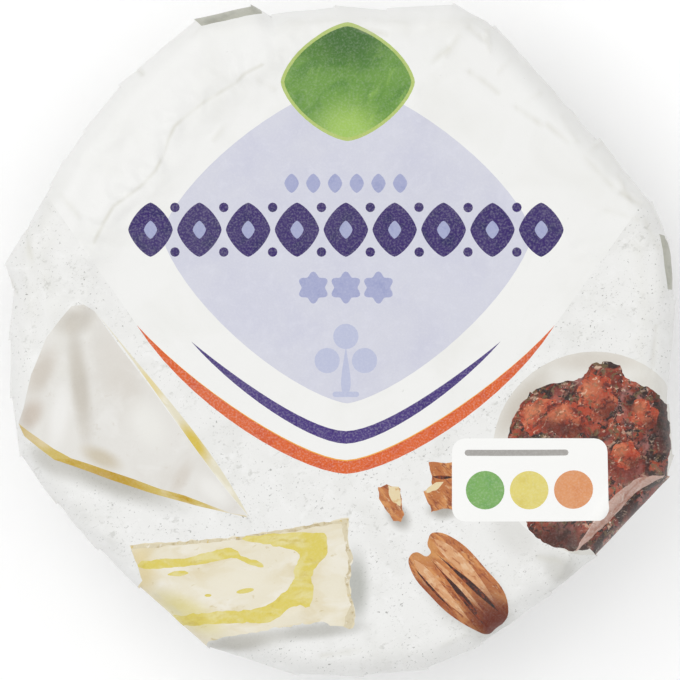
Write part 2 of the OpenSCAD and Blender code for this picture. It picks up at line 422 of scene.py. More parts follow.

# ---------------------------------------------------------------- creases pressed into the top

# Seen from above: the ridge's height, its half-width on the side away from the middle and on the
# side towards it, its sharpness from 1, straight slopes, to 2, soft feet, how much painted shade
# darkens the paper along it, and its lines
CREASE_SIZES = ("height", "outer", "inner", "power", "wear")
Crease = namedtuple("Crease", CREASE_SIZES + ("lines",))
LONG_FOLD = [
    (-8, 47.2), (-13, 45.6), (-15.8, 44.2), (-17.4, 42.6), (-22.7, 39.4), (-25.4, 37.3), (-27.5, 35.4),
    (-28.5, 33.3), (-29.3, 30.7), (-30.7, 28), (-33.3, 25.3), (-37.6, 22.2), (-39.2, 19.5), (-40.8, 16.3),
]
CREASES = {
    "long fold": Crease(1.1, 9.0, 5.0, 1.3, 0, [LONG_FOLD + [(-42.2, 12), (-42.4, 6)]]),
    "fold line": Crease(-0.2, 0.5, 0.5, 1, 1, [LONG_FOLD[1:]]),
    "edge fold": Crease(0.35, 1.6, 2.6, 1.2, 0.25, [
        [(25.3, 52.3), (31, 46.4), (37, 40.1), (42.6, 33.9), (47, 28.2), (50.6, 23.4)],
        [(-51.8, 17.5), (-51.6, 10), (-51.2, 4)], [(-49, 22.6), (-49.2, 12), (-47.3, 4), (-46, -6)],
        [(-23, 51.6), (-13.2, 53.6)], [(53, 16.8), (53.4, 8)], [(-9, 52.4), (4, 53), (14, 52.2), (24, 53.4)],
        [(-44, -33.4), (-37, -41)], [(49.6, 16), (50.4, 4), (49.8, -6)],
    ]),
    "dent": Crease(-0.24, 0.8, 0.8, 1.1, 0.6, [
        [(21.4, 44.5), (24, 42.8), (26.5, 40.8)], [(29.5, 38.4), (31.6, 36.9), (33.6, 35.5)],
        [(34.6, 35.4), (37.8, 32.8)], [(40.8, 30.2), (43, 27.8), (45, 25.8)], [(44, 21.7), (49.3, 20)],
        [(21.4, 51.9), (24, 49.8)], [(15.7, 46.6), (18, 48.4)], [(33, -36), (36.4, -36.8)],
        [(-55.2, 10.2), (-54, 8)], [(-40.5, 44), (-37.5, 46.4)], [(46.5, 24.6), (50, 22.4)],
        [(50.8, 19.6), (52.6, 15.4)], [(-52.6, 20), (-51, 13)], [(-31, -42.4), (-27, -45.6)],
        [(-46.4, 33.6), (-43, 35.8)], [(-35.4, 47), (-33, 44.2)], [(3.4, 51.6), (7.6, 50.6)],
        [(-3, -52.4), (3.2, -51.4)], [(-48.8, -25.4), (-46.4, -28.6)], [(38.6, -40.4), (41.6, -37.2)],
        [(52.4, 2), (51.8, -5)],
    ]),
    "pinch": Crease(0.24, 0.8, 0.8, 1, 0.4, [
        [(24.4, 51.3), (24.9, 47.8)], [(36.9, 36.8), (39.2, 32.9)], [(46, 27.2), (48, 23)],
        [(-21, 33.2), (-19.2, 35.4)], [(28.4, 46.2), (26.6, 44.4)], [(43.4, 33), (41.2, 31.2)],
        [(-13.5, 43), (-11, 41.6)], [(33.4, 40.6), (31.4, 39.4)], [(51.6, 22.4), (53.4, 18.6)],
        [(-46.2, 24), (-43.4, 20.6)], [(19.6, 50.4), (17.6, 47.2)], [(-50, -18), (-47.6, -20.6)],
        [(17, -50.6), (20.6, -48.8)],
    ]),
    "soft fold": Crease(0.45, 5.0, 5.0, 1.8, 0, [
        [(-40, 4), (-42.5, -6), (-41, -18)], [(-20, -50), (-6, -45), (8, -48)], [(8, 50), (14, 36)],
        [(46, 4), (38, -2)], [(30, -44), (22, -50)], [(-33, -36), (-43, -30)], [(-46, 30), (-37, 33)],
        [(30, 22), (44, 12)],
    ]),
    "lip": Crease(1.1, 2.3, 1.8, 1.1, 0.15, [
        [(52.6, -22.4), (47.8, -23.7), (44.5, -27.7), (41.3, -31.5), (38.3, -35.5), (36.4, -38.6),
         (34.2, -41.4)],
    ]),
}

# ---------------------------------------------------------------- the sheet, printed flat

PRINT_STEP = 0.7  # the most between two points of an outline or crease
RING_GAP = 0.35  # and the least between one of them and a point of the sheet's own rings
ROW_GAP = 0.87  # rings of even triangles lie this share of a step apart
BORDER_STEPS = 180
NARROW = 1.0  # a crease narrower than this has lines along its feet as well as its crest
outlines = [flat(spaced(outline, PRINT_STEP)) for _, outline in FIELDS]


def fold_lines():
    """The two creases of every pleat and the line it starts from, on the flat sheet."""
    runs = np.arange(RUN_RIM + 6, RUN_END - 3, 1.3)  # from where the pleats open to where they close
    lines = []
    for i in range(len(FOLDS)):
        width = (fold_turn[(i + 1) % len(FOLDS)] - fold_turn[i]) % (2 * math.pi)
        for layer in (0, 1, 2):
            turns = fold_turn[i] + width * (1 - layer * tuck_share(runs, width))
            lines.append([(r * math.cos(a), r * math.sin(a)) for r, a in zip(runs, turns)])
    return lines


def rings():
    """Places for the sheet's points, ring by ring, closer together where the paper shows most."""
    places, run, odd = [(0.0, 0.0)], 0.8, 0.0
    zones = [(28, 0.75), (RUN_WIDE + 2, 0.6), (RUN_BASE, 1.0), (RUN_END, 1.8)]  # outer end and spacing
    while run < RUN_END - 0.5:
        step = next(step for end, step in zones if run < end)
        count = round(2 * math.pi * run / step)
        places += [
            (run * math.cos(a), run * math.sin(a))
            for a in (np.arange(count) + odd) * 2 * math.pi / count
        ]
        run += step * ROW_GAP
        odd = 0.5 - odd
    return places


def make_sheet():
    """The flat sheet as triangles that follow every outline and every crease."""
    points, edges = [], []
    crests = []
    for crease in CREASES.values():
        for line in (spaced(line, PRINT_STEP, closed=False) for line in crease.lines):
            crests.append(flat(line))
            if crease.outer < NARROW:
                crests += [flat(beside(line, gap)) for gap in (crease.outer, -crease.inner)]
    for line, closed in [(o, True) for o in outlines] + [(f, False) for f in fold_lines() + crests]:
        first = len(points)
        points += line
        edges += [(first + k, first + k + 1) for k in range(len(line) - 1)]
        if closed:
            edges.append((first + len(line) - 1, first))
    tree = kdtree.KDTree(len(points))
    for k, (x, y) in enumerate(points):
        tree.insert((x, y, 0), k)
    tree.balance()
    points += [(x, y) for x, y in rings() if tree.find((x, y, 0))[2] > RING_GAP]
    border = [
        (RUN_END * math.cos(a), RUN_END * math.sin(a))
        for a in np.linspace(0, 2 * math.pi, BORDER_STEPS, endpoint=False)
    ]
    first = len(points)
    face = list(range(first, first + len(border)))
    verts, _, faces, *_ = delaunay_2d_cdt([Vector(p) for p in points + border], edges, [face], 1, 1e-5)
    return np.array([tuple(v) for v in verts]), np.array(faces)


def inside(outline, places):
    """Which places lie inside a closed outline."""
    low, high = np.min(outline, axis=0), np.max(outline, axis=0)
    near = np.all((places >= low) & (places <= high), axis=1)
    x, y = places[near].T
    crossings = np.zeros(len(x), bool)
    for (ax, ay), (bx, by) in zip(outline, outline[1:] + outline[:1]):
        if ay == by:
            continue
        level = (y >= min(ay, by)) & (y < max(ay, by))
        crossings ^= level & (x < ax + (y - ay) * (bx - ax) / (by - ay))
    result = np.zeros(len(places), bool)
    result[near] = crossings
    return result


sheet_points, sheet_faces = make_sheet()
middles = sheet_points[sheet_faces].mean(axis=1)
face_ink = np.zeros(len(sheet_faces), int)
ink_names = ["stone"] + list(dict.fromkeys(ink for ink, _ in FIELDS))
for (ink, _), outline in zip(FIELDS, outlines):
    face_ink[inside(outline, middles)] = ink_names.index(ink)

# ---------------------------------------------------------------- how the sheet is folded

UNDER_LAYER = 0.15  # how far out of a pleat's depth its innermost layer lies, as a share
# Everything that the folding reads from the sheet, and its kind
FACTS = dict.fromkeys(("run", "place", "layer", "share", "pleat", "slack", "from_out", "to_out"), "FLOAT")
FACTS |= dict.fromkeys(("from_way", "to_way", "seen"), "FLOAT_VECTOR") | {"ink": "INT"}


def folded(points):
    """Where each of the sheet's points goes: everything that the folding reads, by name."""
    turn = np.arctan2(points[:, 1], points[:, 0])
    run = np.minimum(np.hypot(points[:, 0], points[:, 1]), RUN_END)
    before, after, across, width = sector_of(turn)
    tuck = tuck_share(run, width)
    first, second = 1 - 2 * tuck, 1 - tuck
    angle = width * np.maximum(run, 1e-6) * tuck / np.maximum(np.interp(run, run_at, profile[:, 0]), 1e-6)
    back = angle / width
    seen_part = across <= first + 1e-9
    under_part = ~seen_part & (across <= second + 1e-9)
    share_under = (across - first) / np.maximum(tuck, 1e-9)
    share_last = (across - second) / np.maximum(tuck, 1e-9)
    place = np.where(
        seen_part, across / first,
        np.where(under_part, 1 - back * share_under, 1 - back * (1 - share_last)),
    )
    layer = np.where(
        seen_part, np.clip(across / first, 0, 1),
        np.where(under_part, 1 - (1 - UNDER_LAYER) * share_under, UNDER_LAYER * (1 - share_last)),
    )
    reach = seen_radius(turn, np.minimum(run, RUN_WIDE)) + np.maximum(run - RUN_WIDE, 0)
    zero = np.zeros(len(points))
    return {
        "run": run,
        "place": place,
        "layer": layer,
        "share": out_share(run),
        "pleat": pleat_share(run),
        "slack": eased((run - 20) / 30) * eased((RUN_BASE - run) / 10),
        "from_out": fold_out[before],
        "to_out": fold_out[after],
        "from_way": np.stack([np.cos(fold_turn[before]), np.sin(fold_turn[before]), zero], 1),
        "to_way": np.stack([np.cos(fold_turn[after]), np.sin(fold_turn[after]), zero], 1),
        "seen": np.stack([reach * np.cos(turn), reach * np.sin(turn), zero], 1),
    }


def flat_mesh():
    """The sheet as a mesh that carries its ink by face and the places of its print as a UV map."""
    mesh = bpy.data.meshes.new("sheet")
    mesh.from_pydata([(x, y, 0) for x, y in sheet_points], [], sheet_faces.tolist())
    facts = folded(sheet_points)
    for name, values in facts.items():
        attribute = mesh.attributes.new(name, FACTS[name], "POINT")
        field = "value" if FACTS[name] == "FLOAT" else "vector"
        attribute.data.foreach_set(field, values.astype(np.float32).ravel())
    mesh.attributes.new("ink", "INT", "FACE").data.foreach_set("value", face_ink.astype(np.int32))
    corners = np.empty(len(mesh.loops), np.int32)
    mesh.loops.foreach_get("vertex_index", corners)
    print_places = facts["seen"][corners, :2].astype(np.float32)
    mesh.uv_layers.new(name="print").data.foreach_set("uv", print_places.ravel())
    return mesh


def put_in_scene(name, data):
    """A new object of the scene that shows this mesh, curve, light or camera."""
    made = bpy.data.objects.new(name, data)
    bpy.context.scene.collection.objects.link(made)
    return made


def line_object(name, lines):
    """Open lines as a mesh of edges, all at height 0."""
    points, edges = [], []
    for line in lines:
        edges += [(len(points) + k, len(points) + k + 1) for k in range(len(line) - 1)]
        points += [(x, y, 0) for x, y in line]
    mesh = bpy.data.meshes.new(name)
    mesh.from_pydata(points, edges, [])
    return put_in_scene(name, mesh)


def profile_object():
    """The paper's path as a curve in the XZ plane."""
    curve = bpy.data.curves.new("path", "CURVE")
    curve.dimensions = "3D"
    spline = curve.splines.new("POLY")
    spline.points.add(len(profile) - 1)
    for point, (radius, height) in zip(spline.points, profile):
        point.co = (radius, 0, height, 1)
    return put_in_scene("path", curve)


def add(tree, kind, settings=None, links=None):
    """Adds a node, sets its properties and inputs, and links its inputs. Inputs go by identifier.

    A node given as a link stands for its first output.
    """
    node = tree.nodes.new(kind)
    sockets = {socket.identifier: socket for socket in node.inputs}
    for name, value in (settings or {}).items():
        if name in sockets:
            sockets[name].default_value = value
        else:
            setattr(node, name, value)
    for name, source in (links or {}).items():
        tree.links.new(source.outputs[0] if isinstance(source, bpy.types.Node) else source, sockets[name])
    return node


def folding_tree(materials):
    """Folds the flat sheet over the round, presses the creases into it and lays on its inks."""
    tree = bpy.data.node_groups.new("fold the wrapper", "GeometryNodeTree")
    paper = ("Pleat depth", "Wave height", "Wave size", "Crinkle height", "Crinkle size", "Seed")
    inputs = {"Sheet": "Geometry", "Path": "Object"} | dict.fromkeys(paper, "Float")
    for kind in CREASES:
        inputs |= {f"{kind} lines": "Object"}
        inputs |= dict.fromkeys((f"{kind} {part}" for part in CREASE_SIZES), "Float")
    sockets = {
        name: tree.interface.new_socket(name, in_out="INPUT", socket_type=f"NodeSocket{kind}").identifier
        for name, kind in inputs.items()
    }
    wrapper_socket = tree.interface.new_socket("Wrapper", in_out="OUTPUT", socket_type="NodeSocketGeometry")
    given = {socket.name: socket for socket in add(tree, "NodeGroupInput").outputs}
    fact = {}
    for name, kind in FACTS.items():
        named = add(tree, "GeometryNodeInputNamedAttribute", {"data_type": kind, "Name": name})
        fact[name] = named.outputs["Attribute"]

    # Down the round's path, then across from one fold to the next
    path = add(tree, "GeometryNodeObjectInfo", None, {"Object": given["Path"]})
    on_path = add(tree, "GeometryNodeSampleCurve", {"mode": "LENGTH"},
                  {"Curves": path.outputs["Geometry"], "Length": fact["run"]})
    spot = add(tree, "ShaderNodeSeparateXYZ", None, {"Vector": on_path.outputs["Position"]})
    heading = add(tree, "ShaderNodeSeparateXYZ", None, {"Vector": on_path.outputs["Tangent"]})
    ends, radii = [], []
    for side in ("from", "to"):
        radius = add(tree, "ShaderNodeMath", {"operation": "MULTIPLY_ADD"}, {
            "Value": fact[f"{side}_out"], "Value_001": fact["share"], "Value_002": spot.outputs["X"],
        })
        radii.append(radius)
        ends.append(add(tree, "ShaderNodeVectorMath", {"operation": "SCALE"},
                        {"Vector": fact[f"{side}_way"], "Scale": radius}))
    chord = add(tree, "ShaderNodeMix", {"data_type": "VECTOR"},
                {"Factor_Float": fact["place"], "A_Vector": ends[0], "B_Vector": ends[1]})
    way = add(tree, "ShaderNodeVectorMath", {"operation": "NORMALIZE"}, {"Vector": chord.outputs[1]})
    radius = add(tree, "ShaderNodeMix", {"data_type": "FLOAT"},
                 {"Factor_Float": fact["place"], "A_Float": radii[0], "B_Float": radii[1]})
    arc = add(tree, "ShaderNodeVectorMath", {"operation": "SCALE"}, {"Vector": way, "Scale": radius})
    seen = add(tree, "ShaderNodeMix", {"data_type": "VECTOR"},
               {"Factor_Float": fact["share"], "A_Vector": arc, "B_Vector": chord.outputs[1]})
    lifted = add(tree, "ShaderNodeCombineXYZ", None, {"Z": spot.outputs["Z"]})
    laid = add(tree, "ShaderNodeVectorMath", {"operation": "ADD"},
               {"Vector": seen.outputs[1], "Vector_001": lifted})

    # The way out of the round at each place, and how far the hidden layers of a pleat lie behind
    sideways = add(tree, "ShaderNodeMath", {"operation": "MULTIPLY", "Value_001": -1},
                   {"Value": heading.outputs["Z"]})
    level = add(tree, "ShaderNodeVectorMath", {"operation": "SCALE"}, {"Vector": way, "Scale": sideways})
    upward = add(tree, "ShaderNodeCombineXYZ", None, {"Z": heading.outputs["X"]})
    outward = add(tree, "ShaderNodeVectorMath", {"operation": "ADD"},
                  {"Vector": level, "Vector_001": upward})
    behind = add(tree, "ShaderNodeMath", {"operation": "SUBTRACT", "Value_001": 1}, {"Value": fact["layer"]})
    depth = add(tree, "ShaderNodeMath", {"operation": "MULTIPLY"},
                {"Value": fact["pleat"], "Value_001": given["Pleat depth"]})
    push = add(tree, "ShaderNodeMath", {"operation": "MULTIPLY"}, {"Value": behind, "Value_001": depth})

    # Loose paper: long soft waves, and small facets with sharp valleys between them
    waves = add(tree, "ShaderNodeMath", {"operation": "DIVIDE", "Value": 1},
                {"Value_001": given["Wave size"]})
    wave = add(tree, "ShaderNodeTexNoise", {"noise_dimensions": "4D", "Detail": 2, "Roughness": 0.45},
               {"Vector": laid, "W": given["Seed"], "Scale": waves})
    facets = add(tree, "ShaderNodeMath", {"operation": "DIVIDE", "Value": 1},
                 {"Value_001": given["Crinkle size"]})
    facet = add(tree, "ShaderNodeTexVoronoi", {"voronoi_dimensions": "4D", "feature": "F1", "Randomness": 1},
                {"Vector": laid, "W": given["Seed"], "Scale": facets})
    for swing, height in ((wave, "Wave height"), (facet.outputs["Distance"], "Crinkle height")):
        centred = add(tree, "ShaderNodeMath", {"operation": "SUBTRACT", "Value_001": 0.5}, {"Value": swing})
        loose = add(tree, "ShaderNodeMath", {"operation": "MULTIPLY"},
                    {"Value": fact["slack"], "Value_001": given[height]})
        push = add(tree, "ShaderNodeMath", {"operation": "MULTIPLY_ADD"},
                   {"Value": centred, "Value_001": loose, "Value_002": push})

    # Creases: each rises to its line, with its own width on either side of it, and is pressed harder
    # in some patches, about 3 mm across, than in others
    reach = add(tree, "ShaderNodeVectorMath", {"operation": "LENGTH"}, {"Vector": fact["seen"]})
    patches = add(tree, "ShaderNodeTexNoise", {"noise_dimensions": "4D", "Scale": 0.3, "Detail": 2},
                  {"Vector": fact["seen"], "W": given["Seed"]})
    uneven = add(tree, "ShaderNodeMapRange", {"From Min": 0.38, "From Max": 0.58, "To Min": 0.3},
                 {"Value": patches})
    # the painted shade along the creases, which each crease adds to
    wear = add(tree, "ShaderNodeValue")
    for kind in CREASES:
        lines = add(tree, "GeometryNodeObjectInfo", None, {"Object": given[f"{kind} lines"]})
        near = add(tree, "GeometryNodeProximity", {"target_element": "EDGES"},
                   {"Target": lines.outputs["Geometry"], "Source Position": fact["seen"]})
        line_reach = add(tree, "ShaderNodeVectorMath", {"operation": "LENGTH"},
                         {"Vector": near.outputs["Position"]})
        within = add(tree, "FunctionNodeCompare", {"operation": "LESS_THAN"},
                     {"A": reach.outputs[1], "B": line_reach.outputs[1]})
        width = add(tree, "ShaderNodeMix", {"data_type": "FLOAT"}, {
            "Factor_Float": within,
            "A_Float": given[f"{kind} outer"], "B_Float": given[f"{kind} inner"],
        })
        fall = add(tree, "ShaderNodeMapRange", {"To Min": 1, "To Max": 0},
                   {"Value": near.outputs["Distance"], "From Max": width})
        slope = add(tree, "ShaderNodeMath", {"operation": "POWER"},
                    {"Value": fall, "Value_001": given[f"{kind} power"]})
        sharp = add(tree, "ShaderNodeMath", {"operation": "MULTIPLY"},
                    {"Value": slope, "Value_001": uneven})
        push, wear = (
            add(tree, "ShaderNodeMath", {"operation": "MULTIPLY_ADD"},
                {"Value": sharp, "Value_001": given[f"{kind} {part}"], "Value_002": total})
            for part, total in (("height", push), ("wear", wear))
        )

    offset = add(tree, "ShaderNodeVectorMath", {"operation": "SCALE"}, {"Vector": outward, "Scale": push})
    folded_sheet = add(tree, "GeometryNodeSetPosition", None,
                       {"Geometry": given["Sheet"], "Position": laid, "Offset": offset})
    # The sheet's rim is drawn together in the middle of the base
    at_end = add(tree, "FunctionNodeCompare", {"operation": "GREATER_THAN", "B": RUN_END - 0.01},
                 {"A": fact["run"]})
    closed = add(tree, "GeometryNodeMergeByDistance", {"Distance": 1.0},
                 {"Geometry": folded_sheet, "Selection": at_end})
    # the painted shade along the creases is kept for the inks to darken them
    shaded_creases = add(tree, "GeometryNodeStoreNamedAttribute", {"Name": "wear"},
               {"Geometry": closed, "Value": wear})
    stage = add(tree, "GeometryNodeRealizeInstances", None, {"Geometry": shaded_creases})
    for number, material in enumerate(materials):
        chosen = add(tree, "FunctionNodeCompare", {"data_type": "INT", "operation": "EQUAL", "B_INT": number},
                     {"A_INT": fact["ink"]})
        stage = add(tree, "GeometryNodeSetMaterial", {"Material": material},
                    {"Geometry": stage, "Selection": chosen})
    add(tree, "NodeGroupOutput", None, {wrapper_socket.identifier: stage})
    return tree, sockets


# ---------------------------------------------------------------- inks on coated paper

def linear(colour):
    """A colour given as sRGB hex, such as F2F2F0, as linear RGBA."""
    parts = [int(colour[k:k + 2], 16) / 255 for k in (0, 2, 4)]
    return [c / 12.92 if c <= 0.04045 else ((c + 0.055) / 1.055) ** 2.4 for c in parts] + [1]


# A tone that is blotched or streaked into an ink: its size in mm, the noise levels where it starts
# and is full, how much longer than wide it is and which way, and the size of the patches it keeps to
Tone = namedtuple("Tone", "colour size low high stretch turn strength patch", defaults=(1, 0, 1, 0))
# A soft light or shade printed at a place: middle, half-width and half-height in mm, and turn
Shade = namedtuple("Shade", "colour strength x y half_w half_h turn", defaults=(0,))
# An ink: its colour, how strongly the paper's fibres fleck it, its tones and its shades
Ink = namedtuple("Ink", "colour fleck tones shades", defaults=(0.2, (), ()))

INKS = {
    # pale dressed stone with fine dark pores, and the soft shadows of the food on it
    "stone": Ink("E5E5E3", 0.08, (
        Tone("DCDCD9", 7, 0.48, 0.72, strength=0.8),
        Tone("EDEDEC", 2.2, 0.55, 0.7, strength=0.5),
        Tone("C8C8C4", 0.8, 0.58, 0.7, 1.2, 20, 0.8, 7),
        Tone("888883", 0.45, 0.63, 0.71, 1.2, 30, 0.85, 5),
        Tone("777772", 0.4, 0.66, 0.73, 1, 0, 0.7),
    ), (
        Shade("ABA9A1", 0.85, -38.4, -22.9, 17.5, 3.9, -20),
        Shade("BCBAB4", 0.7, -47.5, -20, 6, 3.4, -35),
        Shade("B2B1AB", 0.85, -4, -48.2, 11, 2.1, 5),
        Shade("B4B2AA", 0.85, -17, -50.2, 11, 2.6, 8),
        Shade("A9AAA4", 0.9, 2.4, -41, 3.3, 8.5),
        Shade("A9A69F", 0.95, 20.9, -42.4, 12.2, 6.6, -43),
        Shade("9D9991", 0.9, 9.6, -29.2, 3.6, 2.4, -55),
        Shade("A19D95", 0.9, 17, -28.2, 3.6, 2.2),
        Shade("C5C4BF", 0.8, 36.6, -38, 6, 3.4, -40),
        Shade("D0CFCB", 0.7, 29, -32, 8, 5, -50),
    )),
    # glazed pale earthenware
    "bowl": Ink("DCDAD4", 0.08, (Tone("D3D0C8", 5, 0.45, 0.7),), (
        Shade("C3BCB1", 0.95, 30.5, -10.5, 9, 3.6, 52),
        Shade("CCC6BC", 0.8, 42, -3.4, 12, 2.6),
        Shade("E6E6E4", 1.0, 31, -33, 8, 5, -40),
    )),
    # dark red stewed fruit: glossy lumps, seeds and syrup
    "fruit": Ink("742414", 0.05, (
        Tone("9E4228", 3.0, 0.48, 0.58),
        Tone("2A100C", 2.2, 0.47, 0.56, 1.6, 50),
        Tone("665234", 1.0, 0.54, 0.63, 1, 0, 0.9),
        Tone("9A625C", 2.2, 0.5, 0.62, 1.3, 70, 0.8, 9),
        Tone("C8A890", 0.8, 0.57, 0.66, 1.5, 20, 0.95, 4),
        Tone("1E0C08", 0.7, 0.56, 0.63),
        Tone("E2D6C8", 0.5, 0.63, 0.7, 1, 0, 0.95, 4),
    ), (
        Shade("1E0C08", 0.85, 53.8, -14, 3.2, 9),
        Shade("6C2012", 0.8, 47.4, -21, 4.5, 5),
        Shade("3A140A", 0.85, 36, -33.6, 10, 4.5, -8),
        Shade("34120A", 0.8, 50, -31, 8, 3.8, -48),
    )),
    "berry": Ink("A63C20", 0.05, (
        Tone("C06644", 1.8, 0.48, 0.6),
        Tone("60180E", 1.2, 0.52, 0.62),
        Tone("6E583C", 0.8, 0.58, 0.66, 1, 0, 0.8),
        Tone("DAB298", 0.7, 0.6, 0.68, 1.6, 40, 0.95),
        Tone("30100A", 0.5, 0.6, 0.67),
    ), [  # each lump is darker at its lower right, and its upper left catches the light
        Shade("541808", 0.8, x + 0.7 * w, y - 0.75 * h, 1.3 * w, 0.9 * h, -25) for x, y, w, h, _ in BERRIES
    ] + [
        Shade("CC8058", 0.45, x - 0.3 * w, y + 0.35 * h, 0.8 * w, 0.6 * h, 20) for x, y, w, h, _ in BERRIES
    ]),
    # the same ink, painted pale along the crest of the folded lip: a painted highlight where the crest
    # catches the light
    "painted lip highlight": Ink("B8968A", 0.2, (
        Tone("9D6A58", 1.4, 0.5, 0.66, 3, 48),
        Tone("CDBAB0", 0.9, 0.55, 0.7, 3, 48),
        Tone("6C3120", 0.6, 0.66, 0.74),
    )),
    # white bloomy rind with greyish folds
    "rind": Ink("DBD9D4", 0.06, (
        Tone("D2CEC7", 8, 0.5, 0.74, 1.8, 60, 0.7),
        Tone("E6E5E2", 4, 0.55, 0.72, strength=0.5),
        Tone("C8C1B6", 1.2, 0.64, 0.78, strength=0.5),
    ), (
        Shade("CDC7BE", 0.45, -37, -4.5, 11, 5, -62),
        Shade("BAB3A7", 0.75, -43.2, -7.6, 14, 2.3, -83),
        Shade("B8B0A3", 0.55, -43.8, 3.2, 5, 3.2, 20),
        Shade("BEB4A7", 0.65, -49.6, -5.4, 6.2, 2.8, 65),
        Shade("C0B4A7", 0.85, -51.4, -12.4, 4, 2.6, 60),
        Shade("E6E5E2", 0.9, -46.6, -12.5, 8, 2.4, 82),
        Shade("E3E2DD", 0.75, -32, -14, 6.5, 4, -60),
        Shade("C2B7A0", 0.85, -39.6, -19.6, 5, 2.2, -25),
        Shade("C8C0B5", 0.6, -26.4, -23, 4.6, 1.8, 62),
        Shade("E5E4E0", 0.8, -21, -25, 5, 2.4, -40),
    )),
    # the ripe outer paste along the wedge's cut
    "ripe edge": Ink("C5AE59", 0.1, (
        Tone("D3C599", 2.6, 0.5, 0.64, 2, -22),
        Tone("B59110", 2.0, 0.5, 0.66, 3, -22),
    ), (
        Shade("D2C195", 0.8, -50.5, -16.2, 4.5, 2, -25),
        Shade("B08A08", 0.8, -38, -22.8, 9, 1.6, -20),
        Shade("D9D0B8", 0.8, -19, -28, 6, 1.6, -28),
    )),
    "cut edge": Ink("DAD4BC", 0.08, (Tone("E5E1D2", 1.6, 0.5, 0.66, 3, -55),), (
        Shade("CCB337", 0.95, -24.2, -17, 5.4, 2, -57),
        Shade("D8C680", 0.8, -31.5, -7.4, 4.5, 1.5, -53),
    )),
    # pale curdy paste, ripe yellow paste and the dry crust of the slice
    "crumb": Ink("E0D9C4", 0.08, (
        Tone("D8CCAB", 4.5, 0.47, 0.66, 1.8, 8),
        Tone("E5E0D2", 3.2, 0.52, 0.68, 2, 8),
        Tone("C8B888", 0.9, 0.65, 0.74, 2, 8, 0.8),
    ), (
        Shade("DAC998", 0.8, -33, -38.5, 3.5, 6),
        Shade("D6CB80", 0.7, -25.5, -45.3, 9, 3.4, -28),
        Shade("E3DDCA", 0.9, -17.5, -40.3, 10.5, 3.6, 4),
        Shade("E2DCC9", 0.5, -0.8, -40, 3, 6, 4),
    )),
    "ripe paste": Ink("D4C45C", 0.1, (
        Tone("DCD297", 2.2, 0.48, 0.66, 2.2, 8, 0.8),
        Tone("C6B044", 1.3, 0.55, 0.72, 2, 8, 0.8),
    )),
    "crust": Ink("D0C5A7", 0.1, (
        Tone("B5A37B", 1.3, 0.5, 0.64, 1, 0, 0.9),
        Tone("E5DFD0", 1.0, 0.56, 0.68),
        Tone("CAAE53", 1.1, 0.62, 0.7, 1, 0, 0.9),
    )),
    # brown pecan skin with ridges and dark furrows, and its pale flesh where it is broken
    "nut": Ink("B26A36", 0.05, (
        Tone("CC8C52", 1.2, 0.48, 0.6, 3, NUT_TURN),
        Tone("7C3014", 0.6, 0.53, 0.65, 3, NUT_TURN, 0.8),
        Tone("CFA57E", 0.45, 0.6, 0.7, 2, NUT_TURN, 0.8),
    ), (
        Shade("5E1A06", 0.95, 26.4, -47.4, 10.5, 7, NUT_TURN),
        Shade("7C3010", 0.7, 15, -42.5, 8, 2.2, NUT_TURN),
        Shade("C68C50", 0.8, 13.6, -34.6, 4.5, 3.4, NUT_TURN),
    )),
    "nut ridge": Ink("D09A6C", 0.05, (
        Tone("DCB48C", 0.8, 0.5, 0.62, 2.5, NUT_TURN),
        Tone("A45A2C", 0.5, 0.54, 0.66, 3, NUT_TURN, 0.8),
    ), (Shade("6A1E0A", 0.95, 26.4, -47, 9, 7, NUT_TURN),)),
    "nut groove": Ink("3A140A", 0.04, (
        Tone("803410", 0.6, 0.5, 0.62, 3, NUT_TURN),
        Tone("14100E", 0.6, 0.54, 0.64, 2, NUT_TURN),
    )),
    "nut flesh": Ink("DECCA3", 0.1, (Tone("CBA163", 1.2, 0.52, 0.66),)),
    # solid inks
    "white": Ink("E8E8E6", 0.06, (
        Tone("E0E0DC", 12, 0.48, 0.74, strength=0.6),
        Tone("C5C5C1", 0.5, 0.7, 0.76, strength=0.5, patch=8),
    )),
    "orange": Ink("D2580C", 0.24, (Tone("C84A08", 2.5, 0.5, 0.7),)),
    "amber": Ink("E6A33A", 0.12),
    "purple": Ink("3E2874", 0.18, (Tone("301668", 2.5, 0.5, 0.7),)),
    "deep purple": Ink("2A0E60", 0.15, (Tone("180A54", 2.5, 0.5, 0.7),)),
    "lavender": Ink("CBCCD8", 0.12, (
        Tone("C2C3D4", 9, 0.42, 0.75, strength=0.7),
        Tone("D2D3DF", 1.6, 0.5, 0.75, strength=0.5),
    )),
    "mauve": Ink("9DA2C5", 0.12, (Tone("9298BF", 2, 0.5, 0.7),)),
    "pale mauve": Ink("B4B9D2", 0.12),
    "badge rim": Ink("ABBE66", 0.15),
    "badge": Ink("66923A", 0.12, (
        Tone("558431", 2.6, 0.48, 0.66, 2, 40),
        Tone("7BA349", 1.2, 0.55, 0.7, 3, 70),
    ), (
        Shade("2C6010", 0.95, 1.2, 51, 11, 9),
        Shade("9BBE5A", 0.95, 1.2, 33.8, 8, 8),
    )),
    "card": Ink("F0F0EE", 0.05),
    "grey": Ink("9E9B97", 0.15),
    "leaf green": Ink("75A658", 0.16, (Tone("669D51", 2, 0.5, 0.7),)),
    "straw": Ink("DACC6E", 0.16, (Tone("D2C15C", 2, 0.5, 0.7),)),
    "apricot": Ink("D6905C", 0.16, (Tone("D0844E", 2, 0.5, 0.7),)),
    # painted shade for the folds at the edge: a greyish dark, mottled
    "painted fold shade": Ink("AEAEA1", 0.1, (Tone("99998C", 3, 0.48, 0.66),)),
}


